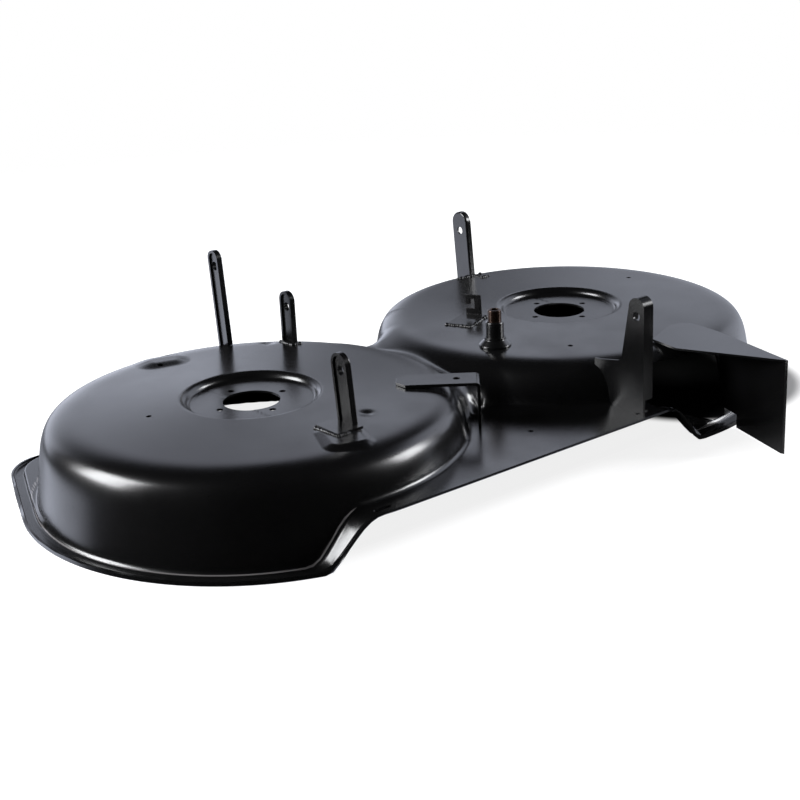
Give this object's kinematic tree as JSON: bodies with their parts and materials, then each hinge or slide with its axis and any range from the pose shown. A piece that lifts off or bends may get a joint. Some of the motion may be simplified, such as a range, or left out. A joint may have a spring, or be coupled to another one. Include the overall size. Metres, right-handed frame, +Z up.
{
  "type": "lawn mower deck",
  "caption": "Pressed steel lawn mower deck with twin blade domes, sunk spindle seats, a rear apron, welded hangers and a folded side discharge chute.",
  "frame": {"origin": "middle of the bounding box, on the floor under the flange", "axes": "+X to the operator's right, from the left spindle to the right one; +Y forward, away from the apron and the chute; +Z up"},
  "size_m": [1.1214, 0.705, 0.2451],
  "materials": {
    "black_paint": "semi-gloss black powder coat",
    "post_steel": "black body with a bare, slightly brown tip"
  },
  "bodies": {
    "root": {"deck_shell": "black_paint", "discharge_chute": "black_paint", "front_left_hanger": "black_paint", "inner_left_hanger": "black_paint", "rear_left_hanger": "black_paint", "front_right_hanger": "black_paint", "rear_right_hanger": "black_paint", "cross_strap": "black_paint", "hook_tab": "black_paint", "pivot_post": "post_steel", "post_collar": "black_paint"}
  },
  "joints": []
}
